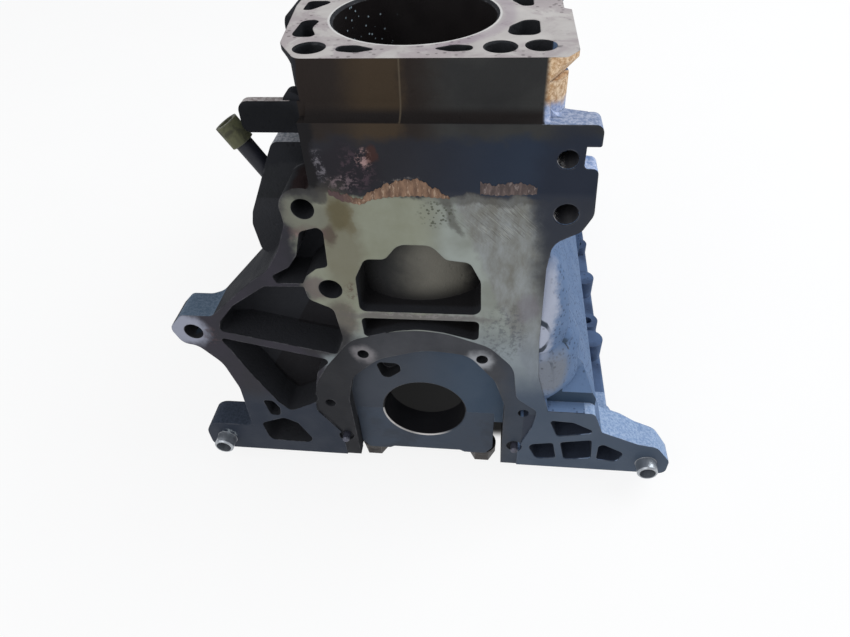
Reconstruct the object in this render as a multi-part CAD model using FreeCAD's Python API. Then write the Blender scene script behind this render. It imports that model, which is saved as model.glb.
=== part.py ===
import FreeCAD, Part
import math
import os

# Inline four-cylinder engine block, seen from its gearbox end.
# All sizes in millimetres.  X runs across the engine, Y along the crankshaft
# from the gearbox face towards the timing end, Z up.  The origin lies on the
# crankshaft axis in the plane of the gearbox face.

V = FreeCAD.Vector
os.makedirs("parts", exist_ok=True)

# ---- driving dimensions -------------------------------------------------
BORE_R = 79.5 / 2
PITCH = 88.0
CYLINDERS = 4
FIRST_BORE_Y = 63.0
FRONT_END = 56.0
DECK_Z = 235.7
RAIL_Z = -44.4
MAIN_R = 27.5
MAIN_THICK = 20.0
BULKHEAD_Y = 9.0
BANK_Y = 7.3
BORE_BOTTOM_Z = 92.0
CAP_HALF_WIDTH = 47.0
CAP_DEPTH = 46.0
CAP_BOLT_EDGE = 7.5
CAP_BOLT_X = CAP_HALF_WIDTH - CAP_BOLT_EDGE
CAP_BOLT_R = 6.0
CAP_BOLT_HEAD = 11.0
CAP_BOLT_ACROSS = 17.0
CAP_BOLT_FLANGE_R = 10.0
CAP_BOLT_FLANGE = 2.5
CAP_BOLT_GAP = 3.0
CAP_BOLT_TOP = 52.0
HEAD_BOLT_X = 41.6
HEAD_BOLT_R = 6.66
SKIRT_X = 111.0
RAIL_X = 130.0
WALL = 7.0
WING_DEPTH = 20.5
DOWEL_R = 6.8
DOWEL_FIT = 0.3
LEDGE_Z = 210.3
DECK_EDGE = 2.5
OIL_DRAIN_X = 58.7
PLUG_R = 18.0
PLUG_Z = 160.0
PLUG_FACE_L = 66.0
PLUG_FACE_R = 75.0
GALLERY_X = -72.0
GALLERY_Z = 118.0
GALLERY_R = 6.0

LENGTH = FIRST_BORE_Y + (CYLINDERS - 1) * PITCH + FRONT_END
BORES_Y = [FIRST_BORE_Y + i * PITCH for i in range(CYLINDERS)]
MAINS_Y = [FIRST_BORE_Y - PITCH / 2 + i * PITCH for i in range(CYLINDERS + 1)]


# ---- drawing helpers ----------------------------------------------------
def place_xz(y):
    return lambda u, v: V(u, y, v)


def place_xy(z):
    return lambda u, v: V(u, v, z)


def place_yz(x):
    return lambda u, v: V(x, u, v)


def outline(corners, place):
    """Closed face from (u, v, radius) corners; a corner with radius 0 stays sharp."""
    entries = []
    count = len(corners)
    for i in range(count):
        u, v, r = corners[i]
        a = FreeCAD.Vector(corners[i - 1][0], corners[i - 1][1], 0)
        b = FreeCAD.Vector(u, v, 0)
        c = FreeCAD.Vector(corners[(i + 1) % count][0], corners[(i + 1) % count][1], 0)
        if r <= 0:
            entries.append((b, b, None))
            continue
        d1 = (a - b).normalize()
        d2 = (c - b).normalize()
        angle = d1.getAngle(d2)
        cut = r / math.tan(angle / 2)
        cut = min(cut, 0.48 * (a - b).Length, 0.48 * (c - b).Length)
        r = cut * math.tan(angle / 2)
        p1 = b + d1 * cut
        p2 = b + d2 * cut
        bis = (d1 + d2).normalize()
        mid = b + bis * (math.hypot(cut, r) - r)
        entries.append((p1, p2, mid))
    edges = []
    for i in range(count):
        p1, p2, mid = entries[i]
        if mid is not None:
            arc = Part.Arc(place(p1.x, p1.y), place(mid.x, mid.y), place(p2.x, p2.y))
            edges.append(arc.toShape())
        q = entries[(i + 1) % count][0]
        if (q - p2).Length > 1e-6:
            edges.append(Part.makeLine(place(p2.x, p2.y), place(q.x, q.y)))
    return Part.Face(Part.Wire(edges))


def slab_xz(corners, y0, y1):
    return outline(corners, place_xz(y0)).extrude(V(0, y1 - y0, 0))


def slab_xy(corners, z0, z1):
    return outline(corners, place_xy(z0)).extrude(V(0, 0, z1 - z0))


def slab_yz(corners, x0, x1):
    return outline(corners, place_yz(x0)).extrude(V(x1 - x0, 0, 0))


def rod_y(x, z, r, y0, y1):
    return Part.makeCylinder(r, y1 - y0, V(x, y0, z), V(0, 1, 0))


def rod_z(x, y, r, z0, z1):
    return Part.makeCylinder(r, z1 - z0, V(x, y, z0), V(0, 0, 1))


def rod_x(y, z, r, x0, x1):
    return Part.makeCylinder(r, x1 - x0, V(x0, y, z), V(1, 0, 0))


def box(x0, x1, y0, y1, z0, z1):
    return Part.makeBox(x1 - x0, y1 - y0, z1 - z0, V(x0, y0, z0))


def save(shape, name):
    shape.exportStep("parts/" + name + ".step")
    print(name, len(shape.Solids), round(shape.Volume), shape.isValid())


# ---- gearbox flange -----------------------------------------------------
# corner lists run clockwise seen from the gearbox: x, z, corner radius
FLANGE = [
    (-47, 210.3, 0), (80.6, 210.3, 0), (80.6, 189.5, 2), (87.2, 189.5, 3),
    (88.6, 165, 8), (84, 155.5, 6), (71, 148, 10), (69.3, 132, 0),
    (70, 80, 0), (72, 50, 30), (80.8, 16.5, 0), (110, 16.5, 4),
    (117, -2, 3), (142, -13, 6), (155, -15.5, 8), (165.5, -30, 7),
    (165.5, RAIL_Z, 5), (-158, RAIL_Z, 7), (-158, -16.5, 12), (-122, -16.5, 5),
    (-121, 24, 20), (-126, 48, 20), (-138, 63.5, 10), (-147, 65, 7),
    (-151.5, 78, 7), (-141, 88.8, 5), (-122, 89, 6), (-91.3, 116.7, 10),
    (-80, 125, 12), (-70.5, 140, 10), (-64, 156, 4), (-64.3, 165, 0),
    (-56, 176.5, 3), (-47, 176.5, 3),
]
# where the wing behind the flange face stops, in plan: x, y
WING_PLAN = [
    (-170, -1, 0), (-170, WING_DEPTH, 0), (-128, WING_DEPTH, 6), (-92, 40, 6),
    (-40, 40, 0), (-40, -1, 0),
]
POCKET_PLAN = [
    (-170, -2, 0), (-170, WING_DEPTH - 5, 0), (-128, WING_DEPTH - 5, 4), (-108, 23.5, 4),
    (-40, 23.5, 0), (-40, -2, 0),
]
PLATE_PLAN = [
    (-45, -1, 0), (-45, 46, 0), (68, 46, 0), (70, 16, 4), (84, 12, 3), (92, 10.8, 0),
    (92, 10, 0), (100, 22, 3), (132, 22, 8), (160, 15, 6), (168, 12, 0), (168, -1, 0),
]
WING_POCKETS = [
    [(-47, 154.5, 3), (-57, 151.5, 4), (-61.3, 136, 5), (-67, 128, 3), (-78, 121.5, 2),
     (-76, 116.4, 1), (-61, 117, 1), (-58.5, 122, 3), (-52, 127.5, 4), (-45.3, 129, 3),
     (-44.3, 152, 4)],
    [(-84, 113.8, 2), (-61, 114.6, 1), (-60, 105.5, 5), (-46.5, 98.5, 6), (-44.3, 75, 8),
     (-50, 61, 3), (-120, 77, 3), (-117.5, 85, 3), (-106.5, 98, 6)],
    [(-122.5, 71.5, 2), (-54, 55.5, 3), (-65, 44, 8), (-70.2, 22, 5), (-69.5, 14.5, 3),
     (-90, 2.5, 4), (-97, 11, 4), (-109, 38, 15), (-117.5, 61, 6)],
    [(-108, 12.8, 2), (-101, 12.3, 3), (-97.5, 5, 4), (-98.8, -3.5, 3), (-105.5, -2.5, 2)],
    [(-114.5, -13, 4), (-97, -5.5, 5), (-88, -10.5, 5), (-78, -33, 5), (-112, -32, 5)],
]
FOOT_POCKETS = [
    [(82.5, 7.5, 2), (98, 6.5, 4), (115, -3, 2.5), (89, -9.5, 3)],
    [(70, -20, 4), (87, -16.5, 2), (90.5, -33.5, 2), (77, -36, 5)],
    [(91.5, -15.5, 2), (112, -11, 2), (114, -31.5, 3), (96, -35, 3)],
    [(117, -13.5, 3), (135, -24, 4), (131, -34, 4), (117.5, -32.5, 2)],
]
WINDOW = [
    (-31.5, 97.8, 4), (36.7, 98.3, 5), (36.2, 122, 6), (30.5, 134.5, 5), (18, 136, 5),
    (10.5, 145, 8), (-6.5, 145, 8), (-14, 135.2, 5), (-25, 135, 5), (-31.2, 122, 6),
]
CRESCENT = [
    (-31.5, 92.7, 3), (35.9, 93.2, 3), (35.6, 77.5, 3), (16, 83.3, 20), (2, 85.2, 30),
    (-12, 83.2, 20), (-31, 76.5, 3),
]
RING_OUTER = [
    (-57, RAIL_Z - 5, 0), (-57, -20, 8), (-72, 5, 8), (-69, 30, 20), (-58, 50, 15),
    (-40, 74, 20), (-12, 83, 40), (2, 84.2, 40), (17, 82.6, 40), (42, 73, 20), (57, 56, 20),
    (60, 28, 10), (74, 16, 6), (72, 0, 8), (64, -25, 8), (64, RAIL_Z - 5, 0),
]
OPENING = [
    (-47, RAIL_Z - 10, 0), (-48, 18, 12), (-43, 40, 16), (-25, 57.5, 20), (4, 67.5, 40),
    (30, 64.5, 16), (46, 43, 16), (53, 20, 14), (53, RAIL_Z - 10, 0),
]
SEAL_HOLES = [(-34.0, 61.4), (38.0, 61.4), (-61.5, 12.6), (65.5, 12.6)]
SEAL_HOLE_R = 3.5
SEAL_PINS = [(-55.0, -22.5), (61.5, -23.5)]
SEAL_PIN_R = 2.5
BULKHEAD_POCKET = [(-29.5, 46, 3), (-14, 45.5, 4), (-13.5, 38, 4), (-25, 29, 4)]
BOSS_A = (-52.6, 165.2, 5.93)
BOSS_B = (-46.2, 113.4, 6.67)
EAR_C = (-136.9, 75.6, 5.93)
EAR_UPPER = (75.6, 165.2, 5.93)
EAR_TOP = (73.3, 193.8, 4.8)
DOWELS = [(-145.0, -33.2), (150.8, -33.2)]
DOWEL_BORE = 5.2
DOWEL_DEPTH = 12.0
DOWEL_OUT = 8.5
DOWEL_LEAD = 0.9


def gearbox_flange():
    body = slab_xz(FLANGE, 0, 45)
    wing = slab_xy(WING_PLAN, RAIL_Z - 1, 215)
    plate = slab_xy(PLATE_PLAN, RAIL_Z - 1, 215)
    body = body.common(wing.fuse(plate))
    boss = rod_y(BOSS_A[0], BOSS_A[1], 12.0, 0, 40)
    return body.fuse(boss)


def flange_pockets():
    deep = slab_xy(POCKET_PLAN, RAIL_Z - 1, 215)
    tools = []
    for corners in WING_POCKETS:
        tools.append(slab_xz(corners, -1, 40).common(deep))
    for corners in FOOT_POCKETS:
        tools.append(slab_xz(corners, -1, 15))
    return tools


LEFT_EAR_X = -75.6
LEFT_EAR_Z = (202.0, 217.1)
LEFT_EAR_THICK = 4.2
LEFT_LUG = (-50.0, 216.5, 4.2)


def ledges():
    low = LEDGE_Z - 10.2
    right = slab_xz([(40, LEDGE_Z, 0), (86.8, LEDGE_Z, 4), (87, low, 1), (40, low, 0)], 0, 12.5)
    foot, top = LEFT_EAR_Z
    corners = [(LEFT_EAR_X, top, 5), (-45, top, 0), (-45, foot, 0), (LEFT_EAR_X, foot, 4)]
    left = slab_xz(corners, BANK_Y, BANK_Y + LEFT_EAR_THICK)
    # hollow fillet where the bank wall runs out into the ledge
    fillet = box(-44, 64, 0.4, 8, LEDGE_Z - 0.5, LEDGE_Z + 7)
    fillet = fillet.cut(rod_x(0.4, LEDGE_Z + 7, 6.9, -45, 65))
    flare = box(60, 69.5, 7, 12.5, LEDGE_Z - 0.5, LEDGE_Z + 6)
    flare = flare.cut(rod_y(69.5, LEDGE_Z + 6, 5.9, 6, 13))
    lug = rod_y(*LEFT_LUG, BANK_Y + 1, 15)
    return [right, left, fillet, flare, lug]


def ear_bosses():
    # metal behind the two threaded holes of the upper right ear
    return [rod_y(EAR_UPPER[0], EAR_UPPER[1], 10, 5, 30), rod_y(EAR_TOP[0], EAR_TOP[1], 7.3, 5, 30),
            box(66, 76, 5, 30, 150, 200)]


def jacket_bulge():
    # two rounded swellings of the water jacket low on the right wall, and their small nose
    upper = [(70, 134), (76, 127), (81, 118), (85, 104), (88, 84), (86, 64), (70, 60)]
    lower = [(70, 92), (88, 82), (97, 62), (99, 36), (88, 14), (70, 8)]
    keep = box(60, 110, 0.5, 60, 0, 150)
    shapes = []
    for profile, y in ((upper, 17.5), (lower, 26.5)):
        corners = [(x, z, 10) for x, z in profile]
        corners[0] = (profile[0][0], profile[0][1], 0)
        corners[-1] = (profile[-1][0], profile[-1][1], 0)
        lobe = outline(corners, place_xz(y)).revolve(V(70, y, 0), V(0, 0, 1), 360)
        shapes.append(lobe.common(keep))
    shapes.append(Part.makeSphere(5.5, V(85.5, 14, 72.5)))
    return shapes


# ---- cylinder bank ------------------------------------------------------
# deck outline and the slimmer wall below it, corner by corner: x, y, radius
DECK_PLAN = [
    (-45.5, BANK_Y, 6), (69, BANK_Y, 3), (74.4, 15, 4), (74.7, LENGTH - 9, 3), (66, LENGTH, 3),
    (-55, LENGTH, 3), (-62.3, LENGTH - 9, 3), (-62.3, 78, 30), (-56.5, 25.6, 10),
]
WALL_PLAN = [
    (-46.5, BANK_Y, 2), (62, BANK_Y, 2), (69.6, 21, 5), (69.5, LENGTH - 9, 3), (62, LENGTH, 3),
    (-50, LENGTH, 3), (-57, LENGTH - 9, 3), (-57, 82, 30), (-50, 24, 10),
]


SIDE_PAD = [(74, 198, 4), (74, 231, 4), (112, 231, 4), (112, 198, 4)]


def bank():
    top = DECK_Z - DECK_EDGE
    low = top - 8
    flare = Part.makeLoft([outline(WALL_PLAN, place_xy(low)).OuterWire,
                           outline(DECK_PLAN, place_xy(top)).OuterWire], True, True)
    parts = [slab_xy(DECK_PLAN, top, DECK_Z), flare, slab_xy(WALL_PLAN, 95, low)]
    keep = box(-100, 100, 10, LENGTH - 2, 50, DECK_Z)
    for y in BORES_Y:
        parts.append(rod_z(-1, y, 61.5, 100, low).common(keep))
        parts.append(rod_z(9, y, 62.5, 104, low).common(keep))
    for y in MAINS_Y:
        parts.append(rod_z(OIL_DRAIN_X, min(y + 1.2, LENGTH - 16), 12.5, 98, low))
    # side pads and core-plug bosses
    for y in BORES_Y[1:]:
        parts.append(rod_x(y, PLUG_Z, PLUG_R + 5, -PLUG_FACE_L, 0))
        parts.append(rod_x(y, PLUG_Z, PLUG_R + 5, 0, PLUG_FACE_R))
    parts.append(slab_yz(SIDE_PAD, -69, -50))
    return parts


# openings of the deck: x, distance from the bore's or the main bearing's centre, radius
JACKET_SLOTS = [
    [(-41.5, -30, 3), (-54, -30, 5), (-53.5, -7, 4), (-44.5, -7, 3), (-46.3, -18, 12)],
    [(44, -30, 5), (59, -30, 5), (59, -10, 5), (52, -10, 5), (45.5, -18, 6)],
    [(-57.5, 22.5, 3), (-43, 22, 3), (-53, 8, 3), (-57.5, 8, 2)],
    [(44.5, 22, 3), (57, 22, 3), (57, 10, 3), (51.5, 10, 3)],
]
GUSSET_SLOTS = [
    [(-29.5, -3.5, 3.2), (-29.5, 2.7, 3.2), (-21, 3.5, 6), (-11.5, -1.6, 1.2), (-20, -5.8, 9)],
    [(30, -3.5, 3), (30, 2.2, 3), (22, 3.6, 6), (12.5, -1.2, 1.2), (21, -5, 9)],
]
SLOT_DEPTH = 40.0
BORE_CHAMFER = 1.2
BOLT_CHAMFER = 0.8
HEAD_BOLT_DEPTH = 75.0
OIL_DRAIN_R = 6.83
OIL_DRAIN_DEPTH = 60.0
PLUG_SEAT = 10.0


def deck_slots(outlines, y):
    tools = []
    for corners in outlines:
        moved = [(u, y + v, r) for u, v, r in corners]
        tools.append(slab_xy(moved, DECK_Z - SLOT_DEPTH, DECK_Z + 1))
    return tools


def bank_cuts():
    tools = []
    over = DECK_Z + 1
    for y in BORES_Y:
        tools.append(rod_z(0, y, BORE_R, BORE_BOTTOM_Z - 20, over))
        start = V(0, y, DECK_Z - BORE_CHAMFER)
        tools.append(Part.makeCone(BORE_R, BORE_R + BORE_CHAMFER, BORE_CHAMFER, start))
        tools += deck_slots(JACKET_SLOTS, y)
    for y in MAINS_Y:
        for x in (-HEAD_BOLT_X, HEAD_BOLT_X):
            tools.append(rod_z(x, y + 0.6, HEAD_BOLT_R, DECK_Z - HEAD_BOLT_DEPTH, over))
            start = V(x, y + 0.6, DECK_Z - BOLT_CHAMFER)
            tools.append(Part.makeCone(HEAD_BOLT_R, HEAD_BOLT_R + BOLT_CHAMFER, BOLT_CHAMFER, start))
        tools.append(rod_z(OIL_DRAIN_X, y + 1.8, OIL_DRAIN_R, DECK_Z - OIL_DRAIN_DEPTH, over))
        tools += deck_slots(GUSSET_SLOTS, y)
    # shallow notches along the right edge of the deck
    for i in range(CYLINDERS - 1):
        y0 = FIRST_BORE_Y + 6 + i * PITCH
        tools.append(slab_xy([(71, y0, 2), (80, y0 - 5, 0), (80, y0 + 33, 0), (71, y0 + 28, 2)],
                             DECK_Z - 30, DECK_Z + 1))
    for y in BORES_Y[1:]:
        tools.append(rod_x(y, PLUG_Z, PLUG_R, -PLUG_FACE_L - 1, -PLUG_FACE_L + PLUG_SEAT))
        tools.append(rod_x(y, PLUG_Z, PLUG_R, PLUG_FACE_R - PLUG_SEAT, PLUG_FACE_R + 1))
    return tools


# ---- crankcase ----------------------------------------------------------
SKIRT = [
    (66, 112, 4), (SKIRT_X, 20.5, 5), (SKIRT_X, -32, 0), (RAIL_X, -32, 2), (RAIL_X, RAIL_Z, 0),
    (-RAIL_X, RAIL_Z, 0), (-RAIL_X, -32, 2), (-SKIRT_X, -32, 0), (-SKIRT_X, 20.5, 5), (-66, 112, 4),
]
CRANK_SPACE = [
    (55, BORE_BOTTOM_Z, 6), (SKIRT_X - WALL, 17, 8), (SKIRT_X - WALL, RAIL_Z - 1, 0),
    (-SKIRT_X + WALL, RAIL_Z - 1, 0), (-SKIRT_X + WALL, 17, 8), (-55, BORE_BOTTOM_Z, 6),
]
CAP_REGISTER = 9.0


def crankcase():
    return slab_xz(SKIRT, 9, LENGTH)


def crankcase_cuts():
    tools = []
    for y in BORES_Y:
        half = (PITCH - MAIN_THICK) / 2
        tools.append(slab_xz(CRANK_SPACE, y - half, y + half))
    tools.append(rod_y(0, 0, MAIN_R, -1, LENGTH + 1))
    for y in MAINS_Y:
        face = y - MAIN_THICK / 2
        tools.append(Part.makeCone(MAIN_R + 0.9, MAIN_R, 0.9, V(0, face, 0), V(0, 1, 0)))
    # the caps drop into a close register and stand free below it
    tools.append(box(-CAP_HALF_WIDTH, CAP_HALF_WIDTH, 8, LENGTH + 1, -CAP_REGISTER, 0))
    tools.append(box(-CAP_HALF_WIDTH - 0.5, 53, 8, LENGTH + 1, RAIL_Z - 5, -CAP_REGISTER))
    for y in MAINS_Y:
        for x in (-CAP_BOLT_X, CAP_BOLT_X):
            tools.append(rod_z(x, y, CAP_BOLT_R, -1, CAP_BOLT_TOP))
    # rear corner of the right wall, scooped out in a slope down to the foot
    scoop = slab_xy([(82, -1, 0), (116, -1, 0), (116, 38, 0), (82, 1.5, 0)], 16.5, 140)
    slope = slab_yz([(0, 16, 0), (40, 16, 0), (40, 62, 0)], 80, 118)
    tools.append(scoop.cut([slope] + jacket_bulge()))
    return tools


# pan rail seen from above: bolt holes and the swellings between them
RAIL_HOLES = (35, 130, 236, 340)
RAIL_SWELLS = (100, 175, 290)
RAIL_BOLT_X = 121.5
RAIL_HOLE_R = 3.5


def pan_rail():
    parts = []
    for side in (-1, 1):
        for y in RAIL_HOLES:
            parts.append(rod_z(side * RAIL_BOLT_X, y, 8.5, RAIL_Z, -24))
        for y in RAIL_SWELLS:
            parts.append(rod_z(side * (RAIL_BOLT_X - 1), y, 9.3, RAIL_Z, -15.5))
    return parts


def pan_rail_cuts():
    tools = []
    for side in (-1, 1):
        for y in RAIL_HOLES:
            tools.append(rod_z(side * RAIL_BOLT_X, y, RAIL_HOLE_R, RAIL_Z - 1, 0))
        for y in RAIL_SWELLS:
            tools.append(rod_z(side * RAIL_BOLT_X, y, RAIL_HOLE_R, RAIL_Z - 1, -26))
    return tools


# ---- timing end and sides, finished plainly ------------------------------
FRONT_PAD = 4.0
FRONT_HOLES = [(-22, 64), (22, 64), (-62, 10), (62, 10), (-57, -30), (57, -30)]
FRONT_COVER_HOLES = [(-50, 120), (50, 120), (-50, 175), (50, 175), (-44, 214), (44, 214)]
FRONT_COVER_R = 4.2
UPPER_PAD = [(-66, 60, 10), (-66, 150, 10), (-52, 225, 6), (64, 225, 6), (70, 150, 10), (70, 60, 10)]
LOWER_PAD = [(-74, RAIL_Z, 0), (-74, 30, 14), (-48, 74, 18), (48, 74, 18), (74, 30, 14), (74, RAIL_Z, 0)]
FRONT_RECESS = [(-30, 95, 5), (-36, 130, 8), (-24, 155, 8), (24, 155, 8), (36, 130, 8), (30, 95, 5)]
# square pads for the engine brackets: centre, half the side, half the bolt spacing
BRACKET_Y = 231.0
BRACKET_Z = 13.0
BRACKET_HALF = 31.0
BRACKET_BOLT = 21.0
BRACKET_FACE = 118.0
BRACKET_ROOT = 80.0
BRACKET_HOLE_R = 5.1
BRACKET_HOLE_DEPTH = 26.0
BRACKET_PAD = [
    (BRACKET_Y - BRACKET_HALF, BRACKET_Z - BRACKET_HALF, 5),
    (BRACKET_Y - BRACKET_HALF, BRACKET_Z + BRACKET_HALF, 5),
    (BRACKET_Y + BRACKET_HALF, BRACKET_Z + BRACKET_HALF, 5),
    (BRACKET_Y + BRACKET_HALF, BRACKET_Z - BRACKET_HALF, 5),
]


def front_end():
    parts = [slab_xz(pad, LENGTH - 14, LENGTH + FRONT_PAD) for pad in (UPPER_PAD, LOWER_PAD)]
    # main oil gallery along the left side
    parts.append(rod_y(GALLERY_X, GALLERY_Z, 11, 60, LENGTH + FRONT_PAD))
    # engine mount pads
    parts.append(slab_yz(BRACKET_PAD, -BRACKET_FACE, -BRACKET_ROOT))
    parts.append(slab_yz(BRACKET_PAD, BRACKET_ROOT, BRACKET_FACE))
    return parts


def front_cuts():
    tools = [rod_y(0, 0, 48, LENGTH + 0.5, LENGTH + 5)]
    tools.append(rod_y(0, 0, MAIN_R + 4, LENGTH - 4, LENGTH + 5))
    tools.append(slab_xz(FRONT_RECESS, LENGTH - 8, LENGTH + 5))
    for x, z in FRONT_HOLES:
        tools.append(rod_y(x, z, SEAL_HOLE_R, LENGTH - 14, LENGTH + 5))
    for x, z in FRONT_COVER_HOLES:
        tools.append(rod_y(x, z, FRONT_COVER_R, LENGTH - 16, LENGTH + 5))
    tools.append(rod_y(GALLERY_X, GALLERY_Z, GALLERY_R, LENGTH - 30, LENGTH + 5))
    tools.append(box(-CAP_HALF_WIDTH - 0.5, 53, LENGTH - 1, LENGTH + 5, RAIL_Z - 5, 0))
    end = BRACKET_FACE - BRACKET_HOLE_DEPTH
    for y in (BRACKET_Y - BRACKET_BOLT, BRACKET_Y + BRACKET_BOLT):
        for z in (BRACKET_Z - BRACKET_BOLT, BRACKET_Z + BRACKET_BOLT):
            tools.append(rod_x(y, z, BRACKET_HOLE_R, -BRACKET_FACE - 1, -end))
            tools.append(rod_x(y, z, BRACKET_HOLE_R, end, BRACKET_FACE + 1))
    return tools


# ---- the casting --------------------------------------------------------
LUMP = [
    (-50, 188.7, 0), (-70.2, 188.7, 5), (-75.5, 178, 8), (-81.5, 165, 10), (-90, 147, 10),
    (-92, 139, 8), (-90.5, 121, 5), (-66, 108, 0), (-50, 108, 0),
]
TUBE_FOOT = V(-75, 32, 160.8)
TUBE_END = V(-95.0, 32, 195.2)
TUBE_R = 4.7
TUBE_BORE = 3.3
SLEEVE_R = 6.3
SLEEVE_LENGTH = 12.5
SLEEVE_LIP = 5.0


def tube_axis():
    return (TUBE_END - TUBE_FOOT).normalize()


def casting():
    body = gearbox_flange()
    adds = [crankcase()] + bank() + ledges() + ear_bosses() + jacket_bulge() + pan_rail() + front_end()
    adds.append(slab_xz(LUMP, 24, 84))
    body = body.multiFuse(adds)
    cuts = flange_pockets() + bank_cuts() + crankcase_cuts() + pan_rail_cuts() + front_cuts()
    barrel = rod_z(0, FIRST_BORE_Y, 52, 60, 200)
    cuts.append(slab_xz(WINDOW, -1, 45).cut(barrel))
    cuts.append(slab_xz(CRESCENT, -1, 26))
    cuts.append(slab_xz(RING_OUTER, -1, 0.8))
    cuts.append(slab_xz(OPENING, -1, BULKHEAD_Y))
    cuts.append(slab_xz(BULKHEAD_POCKET, 0, 18))
    for x, z, r in (BOSS_A, BOSS_B, EAR_C):
        cuts.append(rod_y(x, z, r, -1, 50))
    cuts.append(rod_y(EAR_UPPER[0], EAR_UPPER[1], EAR_UPPER[2], -1, 26))
    cuts.append(rod_y(EAR_TOP[0], EAR_TOP[1], EAR_TOP[2], -1, 22))
    for x, z in SEAL_HOLES:
        cuts.append(rod_y(x, z, SEAL_HOLE_R, -1, 12))
    for x, z in DOWELS:
        cuts.append(rod_y(x, z, DOWEL_R + DOWEL_FIT, -1, DOWEL_DEPTH))
        cuts.append(rod_y(x, z, DOWEL_BORE, -1, 30))
    for x, z in SEAL_PINS:
        cuts.append(rod_y(x, z, 5.2, -1, 2.5))
        cuts.append(rod_y(x, z, SEAL_PIN_R, -1, 12))
    cuts.append(Part.makeCylinder(TUBE_R, 30, TUBE_FOOT, tube_axis()))
    return body.cut(Part.makeCompound(cuts))


# ---- separate pieces ----------------------------------------------------
CAP = [
    (-CAP_HALF_WIDTH, 0, 0), (CAP_HALF_WIDTH, 0, 0), (CAP_HALF_WIDTH, -CAP_DEPTH + 7, 2),
    (CAP_HALF_WIDTH - 5, -CAP_DEPTH, 2), (27, -CAP_DEPTH, 2), (24, -CAP_DEPTH + 2, 2),
    (-24, -CAP_DEPTH + 2, 2), (-27, -CAP_DEPTH, 2), (-CAP_HALF_WIDTH + 5, -CAP_DEPTH, 2),
    (-CAP_HALF_WIDTH, -CAP_DEPTH + 7, 2),
]


def main_cap(y):
    face = y - MAIN_THICK / 2
    body = slab_xz(CAP, face, face + MAIN_THICK)
    tools = [rod_y(0, 0, MAIN_R, face - 1, face + MAIN_THICK + 1)]
    tools.append(Part.makeCone(MAIN_R + 0.9, MAIN_R, 0.9, V(0, face, 0), V(0, 1, 0)))
    for x in (-CAP_BOLT_X, CAP_BOLT_X):
        tools.append(rod_z(x, y, CAP_BOLT_R, -CAP_DEPTH - 1, 1))
    return body.cut(Part.makeCompound(tools))


def hexagon(x, y, across, z0, z1):
    r = across / math.sqrt(3)
    angles = [math.radians(60 * i) for i in range(6)]
    return slab_xy([(x + r * math.cos(a), y + r * math.sin(a), 0) for a in angles], z0, z1)


def cap_bolt(x, y):
    seat = -CAP_DEPTH
    flange = rod_z(x, y, CAP_BOLT_FLANGE_R, seat - CAP_BOLT_FLANGE, seat)
    head = hexagon(x, y, CAP_BOLT_ACROSS, seat - CAP_BOLT_HEAD, seat - 2)
    shank = rod_z(x, y, CAP_BOLT_R, seat - 1, CAP_BOLT_TOP - CAP_BOLT_GAP)
    return flange.fuse([head, shank]).removeSplitter()


def core_plug(y, face, side):
    """Pressed cup: a thin dished disc with its rim flush with the boss."""
    back = face - side * PLUG_SEAT
    outer = rod_x(y, PLUG_Z, PLUG_R, min(face, back), max(face, back))
    inner = rod_x(y, PLUG_Z, PLUG_R - 2, min(face + side, face - side * 7), max(face + side, face - side * 7))
    return outer.cut(inner)


def gallery_plug():
    """Headless screw plug with a hexagon socket, just below the boss's face."""
    face = LENGTH + FRONT_PAD - 1
    body = rod_y(GALLERY_X, GALLERY_Z, GALLERY_R, face - 12, face)
    socket = []
    for i in range(6):
        a = math.radians(60 * i)
        socket.append((GALLERY_X + 4.0 * math.cos(a), GALLERY_Z + 4.0 * math.sin(a), 0))
    return body.cut(slab_xz(socket, face - 6, face + 1))


def dowel_sleeve(x, z):
    """Hollow dowel: the free end is slimmer than the pressed end and has a lead-in."""
    lead = Part.makeCone(DOWEL_R - DOWEL_LEAD, DOWEL_R, DOWEL_LEAD, V(x, -DOWEL_OUT, z), V(0, 1, 0))
    free = rod_y(x, z, DOWEL_R, DOWEL_LEAD - DOWEL_OUT, 0)
    pressed = rod_y(x, z, DOWEL_R + DOWEL_FIT, 0, DOWEL_DEPTH)
    return pressed.fuse([free, lead]).cut(rod_y(x, z, DOWEL_BORE, -DOWEL_OUT - 1, DOWEL_DEPTH + 1))


def seal_pin(x, z):
    body = rod_y(x, z, SEAL_PIN_R, -3.0, 12)
    tip = Part.makeCone(SEAL_PIN_R - 0.6, SEAL_PIN_R, 0.8, V(x, -3.8, z), V(0, 1, 0))
    return body.fuse(tip)


def breather_tube():
    axis = tube_axis()
    length = (TUBE_END - TUBE_FOOT).Length - SLEEVE_LIP
    body = Part.makeCylinder(TUBE_R, length, TUBE_FOOT, axis)
    return body.cut(Part.makeCylinder(TUBE_BORE, length + 2, TUBE_FOOT - axis, axis))


def tube_sleeve():
    axis = tube_axis()
    neck = TUBE_END - axis * SLEEVE_LENGTH
    body = Part.makeCylinder(SLEEVE_R, SLEEVE_LENGTH, neck, axis)
    body = body.cut(Part.makeCylinder(TUBE_R, SLEEVE_LENGTH - SLEEVE_LIP, neck, axis))
    return body.cut(Part.makeCylinder(TUBE_R - 0.3, SLEEVE_LENGTH + 1, neck, axis))


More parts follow.
